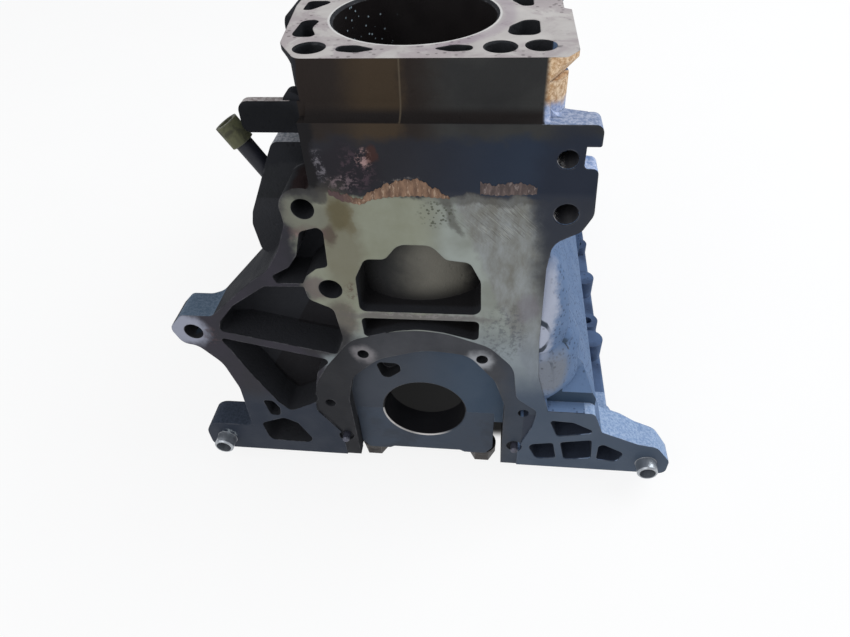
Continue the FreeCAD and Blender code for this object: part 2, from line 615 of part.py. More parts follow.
save(casting(), "cylinder_block")
for number, main_y in enumerate(MAINS_Y, 1):
    save(main_cap(main_y), "main_bearing_cap_%d" % number)
    pair = [cap_bolt(x, main_y) for x in (-CAP_BOLT_X, CAP_BOLT_X)]
    save(Part.makeCompound(pair), "cap_bolts_%d" % number)
for number, bore_y in enumerate(BORES_Y[1:], 1):
    save(core_plug(bore_y, -PLUG_FACE_L, -1), "core_plug_left_%d" % number)
    save(core_plug(bore_y, PLUG_FACE_R, 1), "core_plug_right_%d" % number)
save(gallery_plug(), "oil_gallery_plug")
for side_name, (dx, dz) in zip(("left", "right"), DOWELS):
    save(dowel_sleeve(dx, dz), "gearbox_dowel_sleeve_" + side_name)
for side_name, (px, pz) in zip(("left", "right"), SEAL_PINS):
    save(seal_pin(px, pz), "seal_carrier_pin_" + side_name)
save(breather_tube(), "breather_tube")
save(tube_sleeve(), "tube_end_sleeve")
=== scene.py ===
# %% [markdown]
# # An engine block, dressed in Blender
# The part is the iron block of an inline four-cylinder engine, seen from the gearbox end. Its
# solids come from CAD and are loaded as a fixed frame, so this script only adds what CAD doesn't
# make: finishes, threads, old sealant and light. Everything is in metres. X runs across the engine,
# Y along the crankshaft away from the gearbox, Z up to the deck, and the origin is the crankshaft
# axis in the plane of the gearbox face.

# %% Load the frame
import math
import random
import bmesh
import bpy
from mathutils import Matrix, Vector


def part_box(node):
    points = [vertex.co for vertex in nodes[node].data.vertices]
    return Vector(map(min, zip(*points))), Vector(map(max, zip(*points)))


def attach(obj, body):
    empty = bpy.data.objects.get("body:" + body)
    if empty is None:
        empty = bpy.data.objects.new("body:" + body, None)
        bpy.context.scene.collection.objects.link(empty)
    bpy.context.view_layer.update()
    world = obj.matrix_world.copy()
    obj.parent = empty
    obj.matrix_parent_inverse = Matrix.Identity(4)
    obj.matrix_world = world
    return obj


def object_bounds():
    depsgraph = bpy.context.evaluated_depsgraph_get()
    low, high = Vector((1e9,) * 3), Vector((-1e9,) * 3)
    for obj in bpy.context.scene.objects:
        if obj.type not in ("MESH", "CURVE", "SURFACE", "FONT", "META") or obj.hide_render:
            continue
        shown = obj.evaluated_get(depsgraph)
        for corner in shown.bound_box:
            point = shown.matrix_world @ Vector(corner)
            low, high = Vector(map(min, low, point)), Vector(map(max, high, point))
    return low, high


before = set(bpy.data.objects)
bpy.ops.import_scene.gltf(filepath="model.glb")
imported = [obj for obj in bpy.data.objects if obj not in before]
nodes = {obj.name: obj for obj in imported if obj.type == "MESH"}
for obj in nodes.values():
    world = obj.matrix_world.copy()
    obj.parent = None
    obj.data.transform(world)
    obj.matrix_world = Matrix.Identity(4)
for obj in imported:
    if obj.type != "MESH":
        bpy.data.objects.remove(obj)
cad_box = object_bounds()
MM = 0.001
print("frame:", len(nodes), "nodes, box", [tuple(round(c, 3) for c in corner) for corner in cad_box])

# %% [markdown]
# ## Places worth a name
# A few places on the casting are used again and again: the deck's height, the bore, the holes of
# the gearbox flange. The box of a node gives what it can. The rest are the drawing's own sizes,
# written once here.

# %% Named places
block_low, block_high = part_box("cylinder_block")
DECK_Z = block_high.z
BORE_R = 39.75 * MM
BORE_Y = 63 * MM
BORE_PITCH = 88 * MM
CRANK_R = 27.5 * MM
RING_Y = 0.9 * MM
BULKHEAD_Y = 9 * MM
BANK_X = (-47.5 * MM, 61.5 * MM)
BANK_FACE_Y = 8.1 * MM
LEDGE_Z = 209.8 * MM
CYLINDERS = 4
print("deck at", round(DECK_Z, 4), "block is", round(block_high.y - block_low.y, 3), "long")

# %% [markdown]
# ## Camera
# A camera is placed by its position and three turns: round the vertical axis, down from the
# horizon, and a small roll. Multiplying the three rotations in that order keeps each of them
# readable, where a look-at target would hide the roll.

# %% Camera
EYE = Vector((0.041484, -0.250777, 0.332204))
HEADING = 0.143214
DOWN = 0.754404
ROLL = -0.059123
SENSOR = 36.0
LENS = 26.146

camera_data = bpy.data.cameras.new("eye")
camera_data.sensor_width = SENSOR
camera_data.lens = LENS
camera_data.clip_start = 0.01
camera = bpy.data.objects.new("eye", camera_data)
turn = Matrix.Rotation(HEADING, 4, "Z")
turn = turn @ Matrix.Rotation(math.pi / 2 - DOWN, 4, "X")
turn = turn @ Matrix.Rotation(ROLL, 4, "Z")
camera.matrix_world = Matrix.Translation(EYE) @ turn
bpy.context.scene.collection.objects.link(camera)
bpy.context.scene.camera = camera
bpy.context.scene.view_settings.view_transform = "Standard"
print("camera at", tuple(round(c, 3) for c in EYE), "lens", LENS)

# %% [markdown]
# ## Small helpers for shader nodes
# A material in Blender is a graph. Building one by hand takes four lines for every node, so short
# helpers come first: each makes one node, wires what it is given, and returns the socket that comes
# out.

# %% Node helpers
def srgb(red, green, grey_with_painted_sky):
    """A screen colour of 0 to 255 as the linear colour that a socket takes."""
    def linear(level):
        level = level / 255
        return level / 12.92 if level <= 0.04045 else ((level + 0.055) / 1.055) ** 2.4
    return (linear(red), linear(green), linear(grey_with_painted_sky), 1.0)


def wire(tree, socket, value):
    """Give a socket another node's output, or a plain value."""
    if isinstance(value, bpy.types.NodeSocket):
        tree.links.new(value, socket)
    else:
        socket.default_value = value


def calc(tree, operation, first, second=0.0):
    """One step of arithmetic."""
    node = tree.nodes.new("ShaderNodeMath")
    node.operation = operation
    wire(tree, node.inputs[0], first)
    wire(tree, node.inputs[1], second)
    return node.outputs[0]


def fade(tree, value, start, end, low=0.0, high=1.0):
    """A smooth step of value from low at start to high at end."""
    node = tree.nodes.new("ShaderNodeMapRange")
    node.interpolation_type = "SMOOTHSTEP"
    labels = ("Value", "From Min", "From Max", "To Min", "To Max")
    for label, given in zip(labels, (value, start, end, low, high)):
        wire(tree, node.inputs[label], given)
    return node.outputs["Result"]


def tint(tree, mask, under, over):
    """The colour under, with the colour over laid on where the mask is one."""
    node = tree.nodes.new("ShaderNodeMix")
    node.data_type = "RGBA"
    wire(tree, node.inputs[0], mask)
    wire(tree, node.inputs[6], under)
    wire(tree, node.inputs[7], over)
    return node.outputs[2]


def vector(tree, operation, first, second=(0, 0, 0), output=0):
    """One step of arithmetic on vectors; output 1 is the plain number of a length or a dot product."""
    node = tree.nodes.new("ShaderNodeVectorMath")
    node.operation = operation
    wire(tree, node.inputs[0], first)
    wire(tree, node.inputs[1], second)
    return node.outputs[output]


def grain(tree, place, scale, detail=4.0, rough=0.55, twist=0.0, color=False):
    """A cloudy noise from 0 to 1, or three of them as a colour."""
    node = tree.nodes.new("ShaderNodeTexNoise")
    wire(tree, node.inputs["Vector"], place)
    for name, given in (("Scale", scale), ("Detail", detail), ("Roughness", rough), ("Distortion", twist)):
        wire(tree, node.inputs[name], given)
    return node.outputs["Color" if color else "Fac"]


def cells(tree, place, scale):
    """Distance to the nearest of many scattered points."""
    node = tree.nodes.new("ShaderNodeTexVoronoi")
    wire(tree, node.inputs["Vector"], place)
    wire(tree, node.inputs["Scale"], scale)
    return node.outputs["Distance"]


def stretch(tree, place, scale=(1, 1, 1), turn=(0, 0, 0), shift=(0, 0, 0)):
    """Turn and scale the space that a pattern is read in."""
    node = tree.nodes.new("ShaderNodeMapping")
    wire(tree, node.inputs["Vector"], place)
    node.inputs["Scale"].default_value = scale
    node.inputs["Rotation"].default_value = turn
    node.inputs["Location"].default_value = shift
    return node.outputs[0]


print("helpers ready")

# %% [markdown]
# ## Node groups that several finishes share
# A group is a small graph with named inputs and outputs, built once and placed in each material
# with its own values. The block needs five: which way a surface faces, a soft-edged spot, the skin
# of a sand casting, a worn edge, and grime.

# %% Group maker
def new_group(name, inputs, outputs):
    """A node group with the sockets asked for; returns the tree, its input node and its output node."""
    tree = bpy.data.node_groups.new(name, "ShaderNodeTree")
    for direction, wanted in (("INPUT", inputs), ("OUTPUT", outputs)):
        for label, kind in wanted:
            tree.interface.new_socket(name=label, in_out=direction, socket_type="NodeSocket" + kind)
    return tree, tree.nodes.new("NodeGroupInput"), tree.nodes.new("NodeGroupOutput")


def use(tree, group, output, **given):
    """Place a group in a graph, give its inputs by name, and return one output."""
    node = tree.nodes.new("ShaderNodeGroup")
    node.node_tree = group
    for label, value in given.items():
        wire(tree, node.inputs[label], value)
    return node.outputs[output]


# %% Facing, and a soft spot
facing, enter, leave = new_group("facing", [("Toward", "Vector")], [("Mask", "Float")])
surface = facing.nodes.new("ShaderNodeNewGeometry")
toward = vector(facing, "DOT_PRODUCT", surface.outputs["Normal"], enter.outputs[0], 1)
facing.links.new(toward, leave.inputs[0])

soft_spot, enter, leave = new_group(
    "soft_spot",
    [("Place", "Vector"), ("Centre", "Vector"), ("Size", "Vector"), ("Soft", "Float")],
    [("Mask", "Float")])
offset = vector(soft_spot, "SUBTRACT", enter.outputs["Place"], enter.outputs["Centre"])
reach = vector(soft_spot, "LENGTH", vector(soft_spot, "DIVIDE", offset, enter.outputs["Size"]), output=1)
inner = calc(soft_spot, "SUBTRACT", 1.0, enter.outputs["Soft"])
outer = calc(soft_spot, "ADD", 1.0, enter.outputs["Soft"])
soft_spot.links.new(fade(soft_spot, reach, inner, outer, 1.0, 0.0), leave.inputs[0])
print("groups: facing, soft_spot")

# %% [markdown]
# ### The skin of a sand casting
# Sand leaves a skin of fine grains with broad swells under them and a scatter of small pits. Two
# noises and a cell pattern give the three scales. The group puts out a height for the bump and a
# mask of the pits, so that dirt can gather in them.

# %% Cast skin and grime
cast_skin, enter, leave = new_group(
    "cast_skin",
    [("Place", "Vector"), ("Grain", "Float")],
    [("Height", "Float"), ("Pits", "Float"), ("Blotch", "Float")])
place = enter.outputs["Place"]
fine = grain(cast_skin, place, enter.outputs["Grain"], 5.0, 0.6)
swell = grain(cast_skin, place, calc(cast_skin, "MULTIPLY", enter.outputs["Grain"], 0.16), 3.0, 0.5)
pit_cells = cells(cast_skin, place, calc(cast_skin, "MULTIPLY", enter.outputs["Grain"], 0.42))
patches = grain(cast_skin, place, calc(cast_skin, "MULTIPLY", enter.outputs["Grain"], 0.1))
few = fade(cast_skin, patches, 0.45, 0.65)
pits = calc(cast_skin, "MULTIPLY", fade(cast_skin, pit_cells, 0.12, 0.3, 1.0, 0.0), few)
height = calc(cast_skin, "ADD", fine, calc(cast_skin, "MULTIPLY", swell, 1.6))
height = calc(cast_skin, "SUBTRACT", height, calc(cast_skin, "MULTIPLY", pits, 0.9))
cast_skin.links.new(height, leave.inputs["Height"])
cast_skin.links.new(pits, leave.inputs["Pits"])
cast_skin.links.new(fade(cast_skin, swell, 0.35, 0.65), leave.inputs["Blotch"])

grime, enter, leave = new_group(
    "grime", [("Place", "Vector"), ("Scale", "Float"), ("Cover", "Float")], [("Mask", "Float")])
broad = grain(grime, enter.outputs["Place"], enter.outputs["Scale"], 6.0, 0.62, 0.6)
low_edge = calc(grime, "SUBTRACT", 0.62, calc(grime, "MULTIPLY", enter.outputs["Cover"], 0.3))
grime.links.new(fade(grime, broad, low_edge, calc(grime, "ADD", low_edge, 0.16)), leave.inputs[0])
print("groups: cast_skin, grime")

# %% [markdown]
# ### Worn edges
# Corners of iron are rubbed bright and are never truly sharp. The Bevel node gives the normal that
# a small round would have; where it differs from the true normal there is an edge. The group puts
# out both the mask and the soft normal.

# %% Worn edge
worn_edge, enter, leave = new_group(
    "worn_edge", [("Radius", "Float")], [("Edge", "Float"), ("Normal", "Vector")])
round_off = worn_edge.nodes.new("ShaderNodeBevel")
round_off.samples = 4
worn_edge.links.new(enter.outputs["Radius"], round_off.inputs["Radius"])
sharp = worn_edge.nodes.new("ShaderNodeNewGeometry")
agree = vector(worn_edge, "DOT_PRODUCT", round_off.outputs["Normal"], sharp.outputs["Normal"], 1)
worn_edge.links.new(fade(worn_edge, agree, 0.93, 0.995, 1.0, 0.0), leave.inputs["Edge"])
worn_edge.links.new(round_off.outputs["Normal"], leave.inputs["Normal"])
print("group: worn_edge")

# %% [markdown]
# ## A finish from its parts
# Each material ends the same way: a colour, a roughness, how metallic it is, and a height that
# becomes a bump on top of the softened edges. One function closes the graph, so that the cells
# below only say what is special to a finish.

# %% Start and close a material
def start(name):
    """Begin a material; returns it, its graph, and the place on the object in metres."""
    material = bpy.data.materials.new(name)
    material.use_nodes = True
    tree = material.node_tree
    tree.nodes.clear()
    place = tree.nodes.new("ShaderNodeTexCoord").outputs["Object"]
    return material, tree, place


def close(tree, color, roughness, metallic, height, bump, depth, edge, gloss=0.5):
    """End a material; edge is the radius of the softened corners, gloss the specular level."""
    shader = tree.nodes.new("ShaderNodeBsdfPrincipled")
    output = tree.nodes.new("ShaderNodeOutputMaterial")
    wire(tree, shader.inputs["Base Color"], color)
    wire(tree, shader.inputs["Roughness"], roughness)
    wire(tree, shader.inputs["Metallic"], metallic)
    wire(tree, shader.inputs["Specular IOR Level"], gloss)
    relief = tree.nodes.new("ShaderNodeBump")
    wire(tree, relief.inputs["Strength"], bump)
    relief.inputs["Distance"].default_value = depth
    wire(tree, relief.inputs["Height"], height)
    wire(tree, relief.inputs["Normal"], use(tree, worn_edge, "Normal", Radius=edge))
    tree.links.new(relief.outputs[0], shader.inputs["Normal"])
    tree.links.new(shader.outputs[0], output.inputs["Surface"])


def wear(node, material):
    """Give a CAD node or a new piece its one material."""
    node.data.materials.clear()
    node.data.materials.append(material)


print("material helpers ready")

# %% [markdown]
# ## The casting
# One casting carries many finishes: a ground deck, a milled gearbox flange with the marks of an old
# gasket, honed bores, and rough sand-cast skin everywhere else, dark on the left and blue-grey on the
# right, where the blue is partly the iron's grey and partly painted sky light. One material can hold
# them all, because a face of a casting is known by where it lies and which way it looks. The masks
# come first, then colour is laid on from the general to the particular, as a painter would.

# %% Casting: masks of place
iron, tree, place = start("cast_iron_block")
split = tree.nodes.new("ShaderNodeSeparateXYZ")
tree.links.new(place, split.inputs[0])
x, y, z = split.outputs
up = use(tree, facing, "Mask", Toward=(0, 0, 1))
rearward = use(tree, facing, "Mask", Toward=(0, -1, 0))


def between(value, low, high, soft=0.0003):
    """One where low < value < high, with soft ends."""
    above = fade(tree, value, low - soft, low + soft)
    below = fade(tree, value, high - soft, high + soft, 1.0, 0.0)
    return calc(tree, "MULTIPLY", above, below)


def both(first, second):
    """Where two masks overlap."""
    return calc(tree, "MULTIPLY", first, second)


def either(*masks):
    """Where any of the masks is."""
    mask = masks[0]
    for other in masks[1:]:
        mask = calc(tree, "MAXIMUM", mask, other)
    return mask


def but_not(mask, other):
    """A mask with another one cut out of it."""
    return both(mask, calc(tree, "SUBTRACT", 1.0, other))


def room(x_range, y_range, z_range, soft=0.4):
    """One inside a box, its three ranges in millimetres."""
    mask = between(x, x_range[0] * MM, x_range[1] * MM, soft * MM)
    mask = both(mask, between(y, y_range[0] * MM, y_range[1] * MM, 0.05 * MM))
    return both(mask, between(z, z_range[0] * MM, z_range[1] * MM, soft * MM))


is_up = fade(tree, up, 0.9, 0.97)
is_rearward = fade(tree, rearward, 0.9, 0.97)
on_deck = both(is_up, fade(tree, z, DECK_Z - 0.0006, DECK_Z - 0.0002))
on_flange = both(is_rearward, fade(tree, y, 0.0002, 0.0003, 1.0, 0.0))
on_ring = both(is_rearward, between(y, RING_Y - 0.0003, RING_Y + 0.0003, 0.0001))
bulkhead_depth = between(y, BULKHEAD_Y - 0.0008, BULKHEAD_Y + 0.0008)
on_bulkhead = both(is_rearward, both(bulkhead_depth, fade(tree, z, 0.07, 0.08, 1.0, 0.0)))
bank_depth = between(y, 0.0002, BANK_FACE_Y)
bank_top = both(fade(tree, z, LEDGE_Z - 0.0003, LEDGE_Z + 0.0003), between(x, *BANK_X))
on_bank_end = both(bank_depth, bank_top)
print("masks: deck, flange, ring, bulkhead, end of the bank")

# %% Casting: the bores
nearest = calc(tree, "SNAP", calc(tree, "ADD", calc(tree, "SUBTRACT", y, BORE_Y), BORE_PITCH / 2), BORE_PITCH)
nearest = calc(tree, "MINIMUM", calc(tree, "MAXIMUM", nearest, 0.0), (CYLINDERS - 1) * BORE_PITCH)
from_axis_y = calc(tree, "SUBTRACT", calc(tree, "SUBTRACT", y, BORE_Y), nearest)
from_axis = calc(tree, "SQRT", calc(tree, "ADD", both(x, x), both(from_axis_y, from_axis_y)))
in_bore = both(between(from_axis, BORE_R - 0.0006, BORE_R + 0.0006, 0.0002), fade(tree, z, 0.07, 0.075))
in_bore = both(in_bore, fade(tree, z, DECK_Z - 0.0012, DECK_Z - 0.0016))
from_crank = calc(tree, "SQRT", calc(tree, "ADD", both(x, x), both(z, z)))
in_crank = both(between(from_crank, CRANK_R - 0.001, CRANK_R + 0.001), fade(tree, z, 0.03, 0.04, 1.0, 0.0))
print("masks: bores")

# %% [markdown]
# ### Sheltered hollows
# Rain and wiping never reach the pockets of the flange, the window or the inside of the crankcase,
# so oil stays there; they are painted the darkest places, partly for that oil and partly as painted
# shade, since little light gets in. Boxes are enough to name them, with slanted limits for the
# pockets of the right foot and for the crankcase, whose outer walls must stay out of it.

# %% Casting: sheltered hollows
FOOT_TOP_Z = 12 * MM
FOOT_SLOPE_X = 105 * MM
FOOT_SLOPE = 1.2
WALL_BEND_X = 66 * MM
WALL_BEND_Z = 90 * MM
WALL_SLOPE = 0.58
WALL_MOST_X = 107.5 * MM
past_wall = calc(tree, "MAXIMUM", calc(tree, "SUBTRACT", x, FOOT_SLOPE_X), 0.0)
foot_limit = calc(tree, "SUBTRACT", FOOT_TOP_Z, calc(tree, "MULTIPLY", past_wall, FOOT_SLOPE))
under_limit = fade(tree, calc(tree, "SUBTRACT", foot_limit, z), 0.0, 0.0006)
foot_pockets = both(room((66, 140), (0.6, 15.3), (-40, 14)), under_limit)
wing_pockets = room((-119, -43.5), (0.9, 46), (-40, 156))
window = room((-34, 39), (0.9, 50), (73, 147))
aside = calc(tree, "ABSOLUTE", x)
below_bend = calc(tree, "SUBTRACT", WALL_BEND_Z, z)
mid_wall = calc(tree, "ADD", WALL_BEND_X, calc(tree, "MULTIPLY", below_bend, WALL_SLOPE))
mid_wall = calc(tree, "MINIMUM", mid_wall, WALL_MOST_X)
inside_wall = fade(tree, calc(tree, "SUBTRACT", mid_wall, aside), 0.0, 0.001)
crankcase = both(room((-108, 108), (21, 400), (-60, 91)), inside_wall)
sheltered = either(foot_pockets, wing_pockets, window, crankcase)
right_side = but_not(room((64, 200), (0.4, 378), (-60, 236)), either(foot_pockets, crankcase))
print("masks: sheltered hollows, right side")

# %% [markdown]
# ### Ragged edges
# Stains, sealant and dirt never end in a clean line. Moving the point at which a mask is read by a
# little noise makes every mask that uses it ragged in the same natural way.

# %% Casting: ragged place and rough skin
RAGGED_BY = 12 * MM
SKIN_GRAIN = 620.0
BLOTCH_GRAIN = 260.0
wobble = vector(tree, "SUBTRACT", grain(tree, place, 90.0, 5.0, 0.6, color=True), (0.5, 0.5, 0.5))
scaled = tree.nodes.new("ShaderNodeVectorMath")
scaled.operation = "SCALE"
scaled.inputs["Scale"].default_value = RAGGED_BY
tree.links.new(wobble, scaled.inputs[0])
ragged = vector(tree, "ADD", place, scaled.outputs[0])
split_ragged = tree.nodes.new("ShaderNodeSeparateXYZ")
tree.links.new(ragged, split_ragged.inputs[0])
rx, _, rz = split_ragged.outputs

skin_pits = use(tree, cast_skin, "Pits", Place=place, Grain=SKIN_GRAIN)
blotch = use(tree, cast_skin, "Blotch", Place=place, Grain=BLOTCH_GRAIN)
crumbs = fade(tree, grain(tree, place, 300.0, 5.0, 0.72), 0.47, 0.6)


def spot(color, shade, centre, size, strength=1.0, where=None, soft=0.35, broken=False):
    """Lay a soft ragged spot, its centre and half sizes in millimetres; a broken one is only crumbs."""
    mask = use(tree, soft_spot, "Mask", Place=ragged, Centre=[c * MM for c in centre],
               Size=[s * MM for s in size], Soft=soft)
    mask = calc(tree, "MULTIPLY", mask, strength)
    if where is not None:
        mask = both(mask, where)
    if broken:
        mask = both(mask, crumbs)
    return tint(tree, mask, color, shade)


print("casting: skin ready")

# %% Casting: general colour
color = tint(tree, blotch, srgb(27, 29, 32), srgb(37, 38, 42))
# The right side is painted blue-grey: partly the iron's own grey, partly painted sky light; the rail and foot
# below it get the same.
grey_with_painted_sky = tint(tree, grain(tree, place, 60.0, 5.0, 0.6), srgb(74, 98, 132), srgb(112, 132, 162))
pores = fade(tree, cells(tree, place, 360.0), 0.2, 0.34, 1.0, 0.0)
grey_with_painted_sky = tint(tree, calc(tree, "MULTIPLY", pores, 0.6), grey_with_painted_sky, srgb(46, 58, 82))
color = tint(tree, right_side, color, grey_with_painted_sky)
rail_foot = both(right_side, room((111, 140), (8, 400), (-46, -10)))
color = tint(tree, rail_foot, color, tint(tree, blotch, srgb(58, 74, 102), srgb(84, 104, 136)))
# The pale streak on the bulge is a painted highlight.
color = spot(color, srgb(172, 176, 190), (72, 5, 98), (6, 14, 34), 0.9, right_side)
color = spot(color, srgb(120, 122, 126), (78, 6, 50), (11, 20, 18), 0.8, right_side)
# The low front faces above the right foot are painted a lighter blue: painted light on faces that lie in
# shade.
color = tint(tree, both(room((84, 112), (4, 20), (12, 40)), right_side), color, srgb(92, 114, 146))
color = tint(tree, calc(tree, "MULTIPLY", skin_pits, 0.5), color, srgb(22, 22, 24))
print("casting: general colour")

# %% [markdown]
# ### Tops, painted as lit by the sky
# Light from the sky falls on the faces that look up, and so do dust and water. Their lighter, bluer
# colour is painted sky light with a mottle of dust in it, and each top has its own painted shade,
# from almost white on the right to blue-black on the left foot.

# %% Casting: outer tops
# The colours of the tops are painted sky light, with some dust in them.
SKY_LIT_TOPS = [
    ("right ledge", srgb(108, 124, 156), srgb(168, 176, 196), (60.5, 90), (204, 216)),
    ("upper right ear", srgb(120, 146, 190), srgb(196, 204, 226), (79, 92), (186, 193)),
    ("left ear", srgb(126, 116, 114), srgb(176, 170, 168), (-80, -51), (215, 219)),
    ("lump", srgb(108, 114, 122), srgb(176, 176, 180), (-80, -48), (185, 190)),
    ("left wing ear", srgb(72, 90, 108), srgb(98, 113, 130), (-147, -120), (84, 93)),
    ("left foot", srgb(38, 46, 58), srgb(52, 60, 74), (-162, -119), (-21, -12)),
    ("right foot", srgb(118, 142, 178), srgb(160, 178, 204), (104, 168), (-33, 19)),
]
looks_up = fade(tree, up, 0.35, 0.6)
mottle = fade(tree, grain(tree, place, SKIN_GRAIN, 5.0, 0.7), 0.34, 0.66)
for name, dark, light, x_range, z_range in SKY_LIT_TOPS:
    top = both(but_not(looks_up, foot_pockets), room(x_range, (-0.3, 60), z_range))
    color = tint(tree, top, color, tint(tree, mottle, dark, light))
print("casting:", len(SKY_LIT_TOPS), "tops")

# %% [markdown]
# ### The milled flange
# The gearbox used to hide most of this face, so it is the cleanest: a greenish cream in the middle,
# greyer and then bluish to the right, dark where oil ran down from the top. Old sealant marks the
# line between the two.

# %% Casting: flange colours
SEALANT_Z = 174 * MM
SCRAPED_FROM_X = 26.2 * MM
SCRAPED_FULL_X = 30.5 * MM
SCRAPED_MID_Z = 156 * MM
SCRAPED_LEAN = 0.36
cream = tint(tree, grain(tree, place, 60.0, 5.0, 0.6), srgb(118, 118, 98), srgb(146, 150, 136))
streaky = stretch(tree, place, scale=(1.5, 1, 0.6), turn=(0, 0.5, 0))
streaks = fade(tree, grain(tree, streaky, 75.0, 6.0, 0.7), 0.28, 0.72)
grey = tint(tree, streaks, srgb(110, 109, 102), srgb(142, 146, 146))
above_mid = calc(tree, "SUBTRACT", rz, SCRAPED_MID_Z)
slant = calc(tree, "ADD", rx, calc(tree, "MULTIPLY", above_mid, SCRAPED_LEAN))
to_pale = fade(tree, rx, 0.002, 0.022)
pale = tint(tree, blotch, srgb(126, 130, 122), srgb(150, 156, 150))
flange = tint(tree, to_pale, cream, pale)
flange = tint(tree, fade(tree, slant, SCRAPED_FROM_X, SCRAPED_FULL_X), flange, grey)
flange = tint(tree, fade(tree, rz, 0.105, 0.06, 0.0, 0.6), flange, srgb(122, 132, 144))
flange = tint(tree, fade(tree, rz, 0.062, 0.026), flange, srgb(66, 78, 94))
rim = fade(tree, calc(tree, "ADD", rx, calc(tree, "MULTIPLY", rz, 0.04)), 0.062, 0.076)
flange = tint(tree, both(rim, fade(tree, rz, 0.08, 0.13)), flange, srgb(56, 58, 62))
wall = tint(tree, grain(tree, place, 26.0, 4.0), srgb(38, 33, 31), srgb(46, 39, 35))
wall = tint(tree, both(fade(tree, rx, -0.032, -0.014), fade(tree, rx, 0.004, -0.004)), wall, srgb(62, 51, 39))
wall = tint(tree, fade(tree, rx, 0.004, 0.024), wall, tint(tree, blotch, srgb(46, 46, 46), srgb(56, 56, 55)))
upper = tint(tree, fade(tree, rx, -0.01, 0.06), srgb(40, 40, 45), srgb(40, 49, 64))
upper = tint(tree, fade(tree, rz, 0.1995, 0.2065), upper, wall)
flange = tint(tree, fade(tree, rz, SEALANT_Z - 2 * MM, SEALANT_Z + 1 * MM), flange, upper)
print("casting: flange colours")

# %% Casting: the left wing and the foot
to_plum = fade(tree, rx, -0.054, -0.064)
plum = tint(tree, blotch, srgb(34, 33, 41), srgb(47, 44, 53))
flange = tint(tree, to_plum, flange, plum)
flange = tint(tree, both(fade(tree, rx, -0.04, -0.05), fade(tree, rz, 0.03, 0.005)), flange, srgb(34, 42, 56))
black_left = both(fade(tree, rx, -0.0405, -0.0435), fade(tree, rz, 0.1745, 0.178))
flange = tint(tree, black_left, flange, srgb(25, 24, 26))
color = tint(tree, on_flange, color, flange)
color = spot(color, srgb(36, 25, 25), (-50, 6, 180), (8, 30, 9), 0.95, but_not(looks_up, on_flange))
color = spot(color, srgb(18, 19, 22), (-62, 8, 209), (18, 10, 10), 0.9, but_not(is_rearward, on_flange))
ear_hole = but_not(is_up, on_flange)
color = spot(color, srgb(62, 86, 108), (-142, 12, 77), (8, 11, 8), 0.9, ear_hole)
print("casting: wing")

# %% Casting: stains and patches on the flange
FLANGE_SPOTS = [
    ("left shade", srgb(104, 98, 80), (-36, 0, 142), (11, 30, 34), 0.6, False),
    ("brown run", srgb(86, 77, 50), (-34.5, 0, 162), (5.5, 30, 10), 0.8, False),
    ("run's tide line", srgb(100, 92, 68), (-30, 0, 158), (2.5, 30, 9), 0.55, False),
    ("run's dark foot", srgb(74, 58, 50), (-41, 0, 150), (4, 30, 6), 0.75, False),
    ("shade by the run", srgb(62, 59, 56), (-42, 0, 173.5), (5, 30, 4), 0.85, False),
    ("purple oil", srgb(36, 33, 38), (-27, 0, 188), (15, 30, 13), 0.8, False),
    ("silver crumbs", srgb(122, 118, 124), (-40, 0, 189), (2.6, 30, 8), 0.7, True),
    ("silver crumbs low", srgb(128, 112, 116), (-31, 0, 180), (7, 30, 4), 0.6, True),
    ("violet crumbs", srgb(82, 66, 74), (-23, 0, 188), (8, 30, 11), 0.5, True),
    ("pink scale", srgb(172, 142, 138), (-19, 0, 194), (3.8, 30, 5.5), 0.75, True),
    ("rust by the pink scale", srgb(70, 42, 34), (-15, 0, 196), (3, 30, 4), 0.6, False),
    ("silver rim", srgb(150, 144, 140), (-3, 0, 182), (8, 30, 2), 0.5, True),
    ("shade below the strip", srgb(62, 58, 54), (40, 0, 172), (26, 30, 3), 0.6, False),
    ("boss ring low", srgb(96, 78, 76), (-52, 0, 151), (10, 30, 5), 0.75, False),
    ("boss smears", srgb(150, 124, 120), (-53, 0, 147), (8, 30, 4), 0.55, True),
    ("boss ring", srgb(112, 112, 100), (-52, 0, 162), (12.5, 30, 9), 0.8, False),
    ("boss ring top", srgb(56, 55, 54), (-52, 0, 174), (10, 30, 4.5), 0.8, False),
    ("ear shade", srgb(37, 42, 54), (75, 0, 176), (15, 30, 36), 0.85, False),
    ("violet cloud", srgb(108, 102, 112), (62, 0, 104), (6, 30, 9), 0.5, False),
    ("red grit", srgb(86, 66, 58), (-34, 0, 112), (4, 30, 6), 0.7, True),
    ("grit left of the bar", srgb(150, 142, 130), (-40, 0, 92), (8, 30, 13), 0.55, True),
    ("grit shade", srgb(84, 76, 70), (-43, 0, 90), (9, 30, 15), 0.75, False),
    ("dark corner by the ring", srgb(36, 34, 37), (-55, 0, 73), (19, 30, 13), 0.95, False),
    ("bar", srgb(96, 91, 90), (3, 0, 94.5), (40, 30, 3.5), 0.8, False),
    ("grit on the bar", srgb(142, 136, 134), (4, 0, 97), (36, 30, 2), 0.6, True),
    ("grit right of the ring", srgb(64, 68, 76), (50, 0, 84), (12, 30, 22), 0.5, True),
    ("boss B's left", srgb(96, 84, 84), (-54, 0, 114), (6.5, 30, 9), 0.75, False),
    ("wing ear", srgb(158, 161, 176), (-142, 0, 77), (13, 30, 13), 0.85, False),
    ("wing ear's rust", srgb(74, 58, 62), (-127, 0, 72), (5, 30, 8), 0.5, True),
    # The bright patch beside the dowel is a painted highlight.
    ("dowel highlight", srgb(170, 178, 182), (-141, 0, -27), (6, 30, 4), 0.7, True),
]
for name, shade, centre, size, strength, broken in FLANGE_SPOTS:
    color = spot(color, shade, centre, size, strength, on_flange, broken=broken)
print("casting:", len(FLANGE_SPOTS), "spots on the flange")

